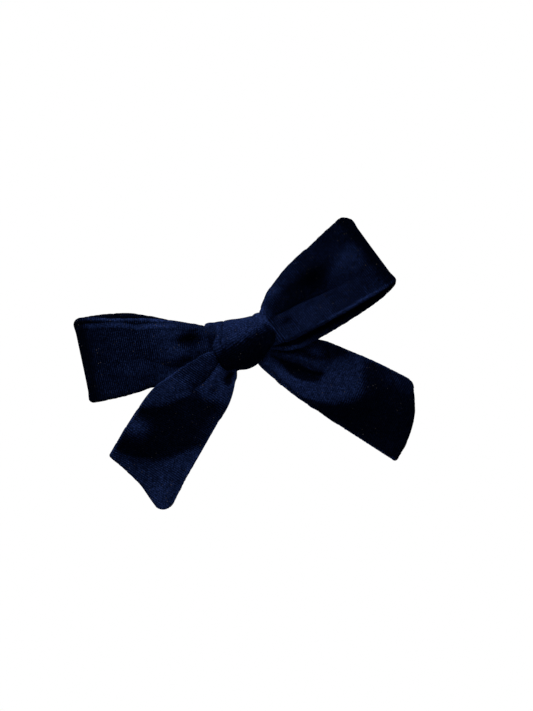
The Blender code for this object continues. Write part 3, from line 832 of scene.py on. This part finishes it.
# The wrap's edges and gathers, at angles round it: 0 faces the viewer and 90 is the top
KNOT_LEFT = ((-90, -6.4), (-45, -8.4), (0, -9.1), (45, -9.6), (90, -9.8), (180, -8.6), (270, -6.4))
KNOT_RIGHT = (
    (-90, 3.8), (-55, 7.6), (-20, 11.6), (0, 12.1), (45, 10.9), (90, 10.1), (180, 9.5), (270, 3.8),
)
KNOT_GATHER = ((-15, -9.2), (0, -8.5), (10, -7.6), (20, -6.8), (45, -6.1), (70, -5.9), (110, -5.6))
KNOT_GROOVE = ((-10, -6.6), (10, -6), (20, -5.1), (38, -4.5), (60, -3.7), (110, -3))
KNOT_SQUARENESS = 2.4
KNOT_GIRTH = 48


def knot_relief(x, turn):
    """The wrap is gathered near its left edge, where it sinks behind a fold, and softly elsewhere."""
    gather = curve(KNOT_GATHER, turn)
    in_front = fall(turn, 85, 30) * smooth_step(turn / 20 + 1)
    depth = -0.9 * beyond(gather - x, 0.7) * in_front
    depth += ridge(turn, x, KNOT_GROOVE, -0.45, 0.3, fade=20)
    depth += ridge(turn, x, ((0, 8.6), (50, 7.4), (100, 6.6)), -0.3, 0.8, fade=20)
    depth += ridge(turn, x, ((-80, -2.4), (-60, -1.6), (-30, 0.6)), -0.3, 0.7, fade=15)
    return depth


def add_knot(material):
    """The wrap: a barrel of one turn of the strip, gathered, with rolled edges at its two mouths."""
    turn = np.linspace(-90, 270, KNOT_ROWS, endpoint=False)[:, None]
    v = edge_packed(KNOT_COLUMNS)
    left, right = curve(KNOT_LEFT, turn), curve(KNOT_RIGHT, turn)
    x = mix(left, right, (v + 1) / 2)
    top, bottom = curve(KNOT_TOP, x), curve(KNOT_BOTTOM, x)
    angle = np.radians(turn)

    def squared(wave):
        return np.sign(wave) * np.abs(wave) ** (2 / KNOT_SQUARENESS)

    turns = np.broadcast_to(turn, x.shape)
    relief = knot_relief(x, turns)
    swell = relief + unevenness(x, turns / 9, 31, 0.10, 7) - EDGE_ROLL * 0.8
    height = (top + bottom) / 2 + squared(np.sin(angle)) * ((top - bottom) / 2 + swell)
    depth = squared(np.cos(angle)) * (curve(KNOT_HALF_DEPTH, x) + swell)
    middle = place(0.0, x, height, depth)[::-1]
    half = strip_half_thickness((1 - np.abs(v)) / 2 * (right - left))
    girth = (turn + 90) / 360 * KNOT_GIRTH - 0.3 * x
    # Painted light and shade on the wrap: light over its top and dark below a ragged slanting line,
    # painted shade in its recesses, where it is tucked under the gather and in its groove, and a
    # painted highlight along its right edge
    ragged = unevenness(x, height, 32, 0.45, 2.6)
    painted_shading = 1.6 - 1.5 * smooth_step((0.16 * x - height + 2.7 + ragged) / 4)
    tucked = beyond(curve(KNOT_GATHER, turn) - x, 0.5) * fall(height, 6.2, 2.2)
    painted_shading *= (1 + relief * 0.5) * (1 - 0.65 * tucked)
    painted_shading *= 1 + 0.15 * stripe(x, 4) + 0.12 * rise(x, 6, 2)
    painted_shading *= 1 - 0.8 * ridge(turns, x, KNOT_GROOVE, 1, 0.35, fade=20)
    painted_shading += 0.6 * stripe(right - x, 0.9) * rise(height, -1, 3)
    painted_shading = painted_shading[::-1]
    cloth = (x[::-1], girth[::-1])
    mesh = skin_mesh("knot_wrap_velvet", middle, half[::-1], cloth, (painted_shading, painted_shading), KNOT_GIRTH)
    add_fixed_piece("knot_wrap_velvet", mesh, material, "velvet", "knot_wrap")


def add_knot_core(material):
    """The crushed crossing of the strip inside the wrap: a lump with deep folds."""
    low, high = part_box("knot_core")
    bm = bmesh.new()
    bmesh.ops.create_icosphere(bm, subdivisions=5, radius=1.0)
    painted_shading_layer = bm.verts.layers.float.new("painted_shading")
    half = (high - low) / 2
    for vert in bm.verts:
        x, y, z = vert.co
        folds = 1 - 0.10 * (1 - abs(math.sin(3.5 * math.atan2(z, y) + 2.0 * x)) ** 0.5)
        vert.co = Vector((x * half.x, y * half.y * folds, z * half.z * folds)) + (low + high) / 2
        vert[painted_shading_layer] = 1.0
    uv = bm.loops.layers.uv.new("cloth")
    for face in bm.faces:
        for loop in face.loops:
            loop[uv].uv = (loop.vert.co.z / (UV_ACROSS * UNIT), loop.vert.co.x / (UV_LENGTH * UNIT))
    mesh = finished_mesh(bm, "knot_core_velvet")
    add_fixed_piece("knot_core_velvet", mesh, material, "velvet", "knot_core")


# ---- the clip


def dress_clip(steel):
    """The clip's steel parts keep their CAD shapes. All get plating, and the two arms worn edges."""
    for name in ("clip_top_arm", "clip_bottom_arm", "clip_pivot_pin"):
        node = frame["nodes"][name]
        node.data.materials.clear()
        node.data.materials.append(steel)
        if name != "clip_pivot_pin":
            bevel = node.modifiers.new("soft edges", "BEVEL")
            bevel.width = WORN_EDGE * UNIT
            bevel.segments = 2
            bevel.limit_method = "ANGLE"
            bevel.angle_limit = math.radians(40)
            bevel.harden_normals = False


def sweep_mesh(name, path, radius, sides):
    """A round wire along a path of points, with domed ends."""
    wire = bpy.data.curves.new(name, "CURVE")
    wire.dimensions = "3D"
    wire.bevel_depth = radius
    wire.bevel_resolution = sides
    wire.use_fill_caps = True
    spline = wire.splines.new("POLY")
    spline.points.add(len(path) - 1)
    for point, co in zip(spline.points, path):
        point.co = (*co, 1.0)
    holder = new_object(name, wire)
    graph = bpy.context.evaluated_depsgraph_get()
    bm = bmesh.new()
    bm.from_mesh(holder.evaluated_get(graph).to_mesh())
    bpy.data.objects.remove(holder)
    bmesh.ops.remove_doubles(bm, verts=bm.verts, dist=1e-6)
    bmesh.ops.recalc_face_normals(bm, faces=bm.faces)
    return finished_mesh(bm, name)


def add_spring(material):
    """The torsion spring: a leg on each lever, and a coil round the pin."""
    pivot = Vector(next(joint["pos_m"] for joint in frame["joints"] if joint["name"] == "jaw_open"))
    low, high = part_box("clip_spring")
    wire = WIRE_RADIUS * UNIT
    turns = 5.5
    points_per_turn = 40
    coil_radius = high.x - pivot.x - wire
    pitch = (high.z - low.z - 2 * wire) / turns
    path = []
    for i in range(round(turns * points_per_turn) + 1):
        share = i / points_per_turn
        angle = 2 * math.pi * share - math.pi / 2
        turn = Vector((math.cos(angle), math.sin(angle), 0.0)) * coil_radius
        path.append(pivot + turn + Vector((0.0, 0.0, pitch * (share - turns / 2))))
    bend = path[-1] - Vector((LEG_BEFORE_BEND * UNIT, 0.0, 0.0))
    foot = Vector((low.x + wire, high.y - wire, path[-1].z))
    path = [Vector((low.x + wire, path[0].y, path[0].z)), *path, bend, foot]
    mesh = sweep_mesh("clip_spring_wire", path, wire, sides=5)
    piece = add_piece("clip_spring_wire", mesh, material, "spring_wire", "clip_spring")
    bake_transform(piece)


def lining_path():
    """(x, y) points, in metres, of the ribbon: along the top arm, over its tip and into the jaw."""
    low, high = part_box("clip_lining")
    half = RIBBON_HALF_THICKNESS * UNIT
    inner_y = high.y - half
    outer_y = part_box("glue_pad")[1].y + SUNK_IN_GLUE * UNIT + half
    middle_y = (outer_y + inner_y) / 2
    radius = (inner_y - outer_y) / 2
    tip_x = high.x - half - radius
    path = [(low.x + LEVER_END_GAP * UNIT, low.y + half)]
    for share in np.arange(60) / 60:
        path.append((mix(LEVER_X * UNIT, tip_x, share), outer_y))
    for turn in np.linspace(0, math.pi, 17):
        path.append((tip_x + radius * math.sin(turn), middle_y - radius * math.cos(turn)))
    for share in np.arange(1, 41) / 40:
        path.append((mix(tip_x, INNER_END_X * UNIT, share), inner_y))
    return np.array(path)


def add_lining(material):
    """Grosgrain ribbon with its cross ribs in the mesh and picots along its two edges."""
    path = lining_path()
    steps = np.concatenate([[0.0], np.cumsum(np.hypot(*np.diff(path, axis=0).T))])
    pitch = GROSGRAIN_RIB * UNIT
    count = int(steps[-1] / pitch * STATIONS_PER_RIB)
    stations = np.linspace(0, steps[-1], count)
    x, y = (np.interp(stations, steps, path[:, i]) for i in (0, 1))
    tangent = np.stack([np.gradient(x), np.gradient(y)])
    tangent /= np.linalg.norm(tangent, axis=0)
    wave = np.abs(np.sin(math.pi * stations / pitch)) ** 0.7
    across = np.linspace(-1, 1, RIBBON_COLUMNS)
    across = np.concatenate([across, across[::-1]])[:, None]
    side = np.repeat([1, -1], RIBBON_COLUMNS)[:, None]
    half = side * (GROSGRAIN_THIN + GROSGRAIN_RELIEF * wave) * UNIT * (1 - 0.5 * np.abs(across) ** 12)
    straight_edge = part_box("clip_lining")[1].z - PICOT_ROOM * UNIT
    z = straight_edge * across + GROSGRAIN_PICOT * UNIT * across**9 * wave
    points = np.stack([x + tangent[1] * half, y - tangent[0] * half, z], axis=-1)
    ends = [range(k, half.size, count) for k in (0, count - 1)]
    bm = filled_bmesh(points, [*grid_quads(*half.shape, closed=True), *ends])
    bmesh.ops.recalc_face_normals(bm, faces=bm.faces)
    uv = bm.loops.layers.uv.new("cloth")
    for face in bm.faces:
        for loop in face.loops:
            length = stations[loop.vert.index % count]
            loop[uv].uv = (loop.vert.co.z / (UV_ACROSS * UNIT), length / (UV_LENGTH * UNIT))
    mesh = finished_mesh(bm, "clip_lining_grosgrain")
    add_fixed_piece("clip_lining_grosgrain", mesh, material, "grosgrain", "clip_lining")


def add_glue(material):
    """A squeezed bead of hot-melt glue between the lined arm and the back of the knot."""
    low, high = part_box("glue_pad")
    centre, half = (low + high) / 2, (high - low) / 2
    bm = bmesh.new()
    bmesh.ops.create_uvsphere(bm, u_segments=64, v_segments=24, radius=1.0)
    for vert in bm.verts:
        x, y, z = vert.co
        around = math.atan2(y, x)
        spread = 1 - 0.05 + 0.04 * math.sin(3 * around + 1.0) + 0.03 * math.sin(5 * around)
        flat = math.copysign(min(1.0, abs(z) ** 0.5 * 1.15), z)
        rim = (x * x + y * y) ** 0.5
        scale = (rim**-0.35 if rim > 0.05 else 1.0) * spread
        vert.co = centre + Vector((x * scale * half.x, flat * half.y, y * scale * half.z))
    bmesh.ops.recalc_face_normals(bm, faces=bm.faces)
    mesh = finished_mesh(bm, "glue_bead")
    add_fixed_piece("glue_bead", mesh, material, "hot_melt", "glue_pad")


# ---- materials


class Nodes:
    """A node tree that is built with short calls."""

    def __init__(self, owner):
        owner.use_nodes = True
        self.tree = owner.node_tree

    def node(self, kind, inputs=None, **settings):
        """The outputs of a new node."""
        made = self.tree.nodes.new("ShaderNode" + kind)
        for name, value in settings.items():
            setattr(made, name, value)
        self.feed(made, inputs or {})
        return made.outputs

    def feed(self, node, inputs):
        for name, value in inputs.items():
            if isinstance(value, bpy.types.NodeSocket):
                self.tree.links.new(value, node.inputs[name])
            else:
                node.inputs[name].default_value = value

    def maths(self, operation, a, b=0.0):
        return self.node("Math", {0: a, 1: b}, operation=operation)[0]

    def product(self, first, *others):
        for other in others:
            first = self.maths("MULTIPLY", first, other)
        return first

    def total(self, a, b):
        return self.maths("ADD", a, b)

    def between(self, value, low, high, to_low=0.0, to_high=1.0):
        limits = {"From Min": low, "From Max": high, "To Min": to_low, "To Max": to_high}
        return self.node("MapRange", {"Value": value, **limits})["Result"]

    def noise(self, vector, size, detail=2.0):
        return self.node("TexNoise", {"Vector": vector, "Scale": 1.0 / size, "Detail": detail})["Fac"]

    def scaled(self, colour, factor):
        return self.node("VectorMath", {0: colour, "Scale": factor}, operation="SCALE")["Vector"]

    def blend_colour(self, share, a, b):
        return self.node("Mix", {0: share, 6: a, 7: b}, data_type="RGBA")[2]

    def bumped(self, height, distance, strength=1.0, normal=None):
        inputs = {"Height": height, "Distance": distance, "Strength": strength}
        if normal is not None:
            inputs["Normal"] = normal
        return self.node("Bump", inputs)["Normal"]

    def cells(self, vector, size):
        """Cells of random colours: their colour channels and the distance from their middles."""
        made = self.node("TexVoronoi", {"Vector": vector, "Scale": 1.0 / size})
        return self.node("SeparateColor", {0: made["Color"]}), made["Distance"]

    def cloth_wave(self, direction, unit, pitch):
        """A wave that repeats across ("X") or along ("Y") the cloth, at a pitch in millimetres."""
        place_in_cloth = self.node("SeparateXYZ", {0: self.node("UVMap", uv_map="cloth")["UV"]})
        return self.maths("SINE", self.product(place_in_cloth[direction], unit, 2 * math.pi / pitch))


class Shader(Nodes):
    """A material on the Principled BSDF, and the object's own coordinates as its point."""

    def __init__(self, name):
        self.material = bpy.data.materials.new(name)
        super().__init__(self.material)
        self.point = self.node("TexCoord")["Object"]

    def finish(self, **inputs):
        surface = self.tree.nodes["Principled BSDF"]
        self.feed(surface, {name.replace("_", " "): value for name, value in inputs.items()})
        return self.material


def velvet_material():
    """Navy stretch velvet: fine ribs across the strip, a short pile that sheens, lint, and painted
    light and shade in its colour.
    """
    shader = Shader("navy_velvet")
    # The skins' painted light and shade, which scales the velvet's colour and the weight of its sheen
    painted_shading = shader.node("Attribute", attribute_name="painted_shading")["Fac"]
    ribs = shader.cloth_wave("Y", UV_LENGTH, RIB_PITCH)
    pile = shader.noise(shader.point, PILE_SIZE * UNIT)
    shade = velvet_shade(shader, painted_shading, pile, ribs)
    fuzz = shader.bumped(pile, 0.10 * UNIT, 0.6)
    return shader.finish(
        Base_Color=shader.blend_colour(lint(shader), shader.scaled(VELVET_COLOUR, shade), LINT_COLOUR),
        Roughness=0.85,
        Specular_IOR_Level=0.0,
        Normal=shader.bumped(ribs, 0.035 * UNIT, 0.7, fuzz),
        Sheen_Weight=shader.product(shade, 0.03),
        Sheen_Roughness=0.4,
        Sheen_Tint=(0.20, 0.36, 1.0, 1.0),
    )


def velvet_shade(shader, painted_shading, pile, ribs):
    """How light the velvet's colour is: the painted light and shade, broken up by the pile, its tips,
    tufts, patches and ribs.
    """
    tips, _ = shader.cells(shader.point, PILE_TIP_SIZE * UNIT)
    tufts = shader.noise(shader.point, TUFT_SIZE * UNIT)
    patches = shader.noise(shader.point, PATCH_SIZE * UNIT, 1.0)
    pile_depth = shader.between(painted_shading, 0.3, 1.5, 0.85, 0.55)
    fuzz = shader.product(pile_depth, shader.between(pile, 0.3, 0.7, -1.0, 1.0))
    crests = shader.maths("POWER", shader.between(ribs, -1.0, 1.0), 2.0)
    rib_depth = shader.product(
        shader.between(painted_shading, 0.15, 0.5, 0.45, 0.9), shader.between(painted_shading, 0.45, 1.1, 1.0, 0.25)
    )
    rib_shade = shader.product(shader.between(crests, 0.0, 1.0, -1.0, 1.67), rib_depth)
    shade = shader.product(
        painted_shading,
        shader.total(fuzz, 1.0),
        shader.between(tips["Green"], 0.0, 1.0, 0.4, 1.6),
        shader.between(tufts, 0.25, 0.75, 0.7, 1.3),
        shader.between(patches, 0.3, 0.7, 0.85, 1.15),
        shader.total(rib_shade, 1.0),
    )
    return shader.total(shade, 0.05)


def lint(shader):
    """Specks of lint: dots of random size and strength in a few of many cells."""
    chance, distance = shader.cells(shader.point, LINT_CELL * UNIT)
    chosen = shader.between(chance["Red"], LINT_THRESHOLD, LINT_THRESHOLD + 0.01)
    edge = shader.between(chance["Blue"], 0.0, 1.0, 0.08, 0.17)
    strength = shader.between(chance["Green"], 0.0, 1.0, 0.3, 1.0)
    return shader.product(shader.maths("LESS_THAN", distance, edge), chosen, strength)


def grosgrain_material():
    """Matt navy ribbon: cross ribs with the weft's small beads along each of them."""
    shader = Shader("navy_grosgrain")
    beads = shader.cloth_wave("X", UV_ACROSS, GROSGRAIN_BEAD)
    ribs = shader.cloth_wave("Y", UV_LENGTH, GROSGRAIN_RIB)
    fibres = shader.noise(shader.point, 0.12 * UNIT, 3.0)
    shade = shader.product(
        shader.between(beads, -1.0, 1.0, 0.75, 1.1), shader.between(fibres, 0.25, 0.75, 0.7, 1.3)
    )
    return shader.finish(
        Base_Color=shader.scaled((0.010, 0.016, 0.045), shade),
        Roughness=0.7,
        Specular_IOR_Level=0.12,
        Normal=shader.bumped(shader.total(beads, ribs), 0.02 * UNIT, 0.6),
    )


def steel_material():
    """Nickel-plated spring steel: faint rolling lines, and smudges that are slightly rougher."""
    shader = Shader("nickel_plated_steel")
    rolled = shader.node("Mapping", {"Vector": shader.point, "Scale": (0.06, 1.0, 1.0)})
    lines = shader.noise(rolled["Vector"], 0.25 * UNIT, 4.0)
    smudges = shader.noise(shader.point, 4.0 * UNIT, 3.0)
    roughness = shader.total(
        shader.between(smudges, 0.3, 0.7, 0.16, 0.34), shader.between(lines, 0.3, 0.7, 0.0, 0.08)
    )
    return shader.finish(
        Base_Color=shader.blend_colour(smudges, (0.66, 0.64, 0.61, 1.0), (0.80, 0.79, 0.77, 1.0)),
        Metallic=1.0,
        Roughness=roughness,
        Normal=shader.bumped(lines, 0.006 * UNIT, 0.5),
    )


def wire_material():
    """Drawn spring wire, darker than the plating."""
    shader = Shader("drawn_spring_wire")
    grain = shader.noise(shader.point, 0.2 * UNIT, 4.0)
    return shader.finish(
        Base_Color=shader.blend_colour(grain, (0.50, 0.48, 0.46, 1.0), (0.66, 0.65, 0.63, 1.0)),
        Metallic=1.0,
        Roughness=shader.between(grain, 0.3, 0.7, 0.24, 0.4),
    )


def glue_material():
    """Set hot-melt glue: milky, glossy and slightly uneven."""
    shader = Shader("hot_melt_glue")
    clouds = shader.noise(shader.point, 1.5 * UNIT, 3.0)
    return shader.finish(
        Base_Color=shader.blend_colour(clouds, (0.72, 0.68, 0.56, 1.0), (0.84, 0.82, 0.75, 1.0)),
        Roughness=0.24,
        Transmission_Weight=0.35,
        IOR=1.48,
        Normal=shader.bumped(clouds, 0.1 * UNIT, 0.3),
    )


# ---- stage, light and camera


def picture_axes():
    """The picture's right, up and towards-the-viewer directions, in the frame."""
    right = Vector((math.cos(ROLL), 0.0, -math.sin(ROLL)))
    up = Vector((math.sin(ROLL), 0.0, math.cos(ROLL)))
    return right, up, right.cross(up)


def view_target():
    right, up, _ = picture_axes()
    return Vector((0.0, KNOT_Y, 0.0)) + (right * VIEW_CENTRE[0] + up * VIEW_CENTRE[1]) * UNIT


def add_camera():
    right, up, towards = picture_axes()
    data = bpy.data.cameras.new("camera")
    data.lens = LENS
    data.sensor_width = 36.0
    data.clip_start = 0.01
    camera = new_object("camera", data)
    turn = Matrix((right, up, towards)).transposed().to_4x4()
    camera.matrix_world = Matrix.Translation(view_target() + towards * VIEW_DISTANCE) @ turn
    bpy.context.scene.camera = camera


def add_softbox(name, bearing, tilt, distance, size, watts):
    """A round light aimed at the bow, at a bearing in the picture and a tilt off the line of sight."""
    right, up, towards = picture_axes()
    bearing, tilt = math.radians(bearing), math.radians(tilt)
    sideways = right * math.cos(bearing) + up * math.sin(bearing)
    direction = sideways * math.sin(tilt) + towards * math.cos(tilt)
    data = bpy.data.lights.new(name, "AREA")
    data.shape = "DISK"
    data.size = size
    data.energy = watts
    light = new_object(name, data)
    light.location = view_target() + direction * distance
    light.rotation_mode = "QUATERNION"
    light.rotation_quaternion = direction.to_track_quat("Z", "Y")


def add_world():
    """White where the camera sees past the bow, which the white backdrop lights from behind."""
    world = bpy.data.worlds.new("world")
    bpy.context.scene.world = world
    nodes = Nodes(world)
    behind = nodes.node("SeparateXYZ", {0: nodes.node("TexCoord")["Generated"]})["Y"]
    strength = nodes.between(behind, 0.0, 0.6, FILL_IN_FRONT, FILL_BEHIND)
    fill = nodes.tree.nodes["Background"]
    nodes.feed(fill, {"Color": (0.9, 0.95, 1.0, 1.0), "Strength": strength})
    white = nodes.node("Background", {"Color": (1.0, 1.0, 1.0, 1.0)})
    seen = nodes.node("LightPath")["Is Camera Ray"]
    choice = nodes.node("MixShader", {"Fac": seen, 1: fill.outputs[0], 2: white[0]})
    nodes.feed(nodes.tree.nodes["World Output"], {"Surface": choice[0]})


def add_floor():
    """A plain pale floor well below the bow."""
    bm = bmesh.new()
    bmesh.ops.create_circle(bm, cap_ends=True, segments=96, radius=FLOOR_RADIUS)
    mesh = finished_mesh(bm, "floor")
    shader = Shader("pale_floor")
    grain = shader.noise(shader.point, 0.01, 4.0)
    tone = shader.blend_colour(grain, (0.78, 0.78, 0.78, 1.0), (0.84, 0.84, 0.84, 1.0))
    mesh.materials.append(shader.finish(Base_Color=tone, Roughness=0.8))
    floor = new_object("floor", mesh)
    floor.location = (0.0, KNOT_Y, cad_box[0].z - FLOOR_DROP)


def set_stage():
    add_world()
    add_floor()
    add_camera()
    add_softbox("key", bearing=108, tilt=61, distance=0.8, size=0.50, watts=6.0)
    add_softbox("front", bearing=100, tilt=25, distance=0.8, size=0.50, watts=1.0)
    bpy.context.scene.view_settings.view_transform = "Standard"


def main():
    velvet = velvet_material()
    add_loop(LEFT_LOOP, left_loop_relief, left_loop_painted_shading, velvet)
    add_loop(RIGHT_LOOP, right_loop_relief, right_loop_painted_shading, velvet)
    add_tail(LEFT_TAIL, left_tail_relief, left_tail_painted_shading, velvet)
    add_tail(RIGHT_TAIL, right_tail_relief, right_tail_painted_shading, velvet)
    add_knot(velvet)
    add_knot_core(velvet)
    add_lining(grosgrain_material())
    add_glue(glue_material())
    dress_clip(steel_material())
    add_spring(wire_material())
    set_stage()


main()
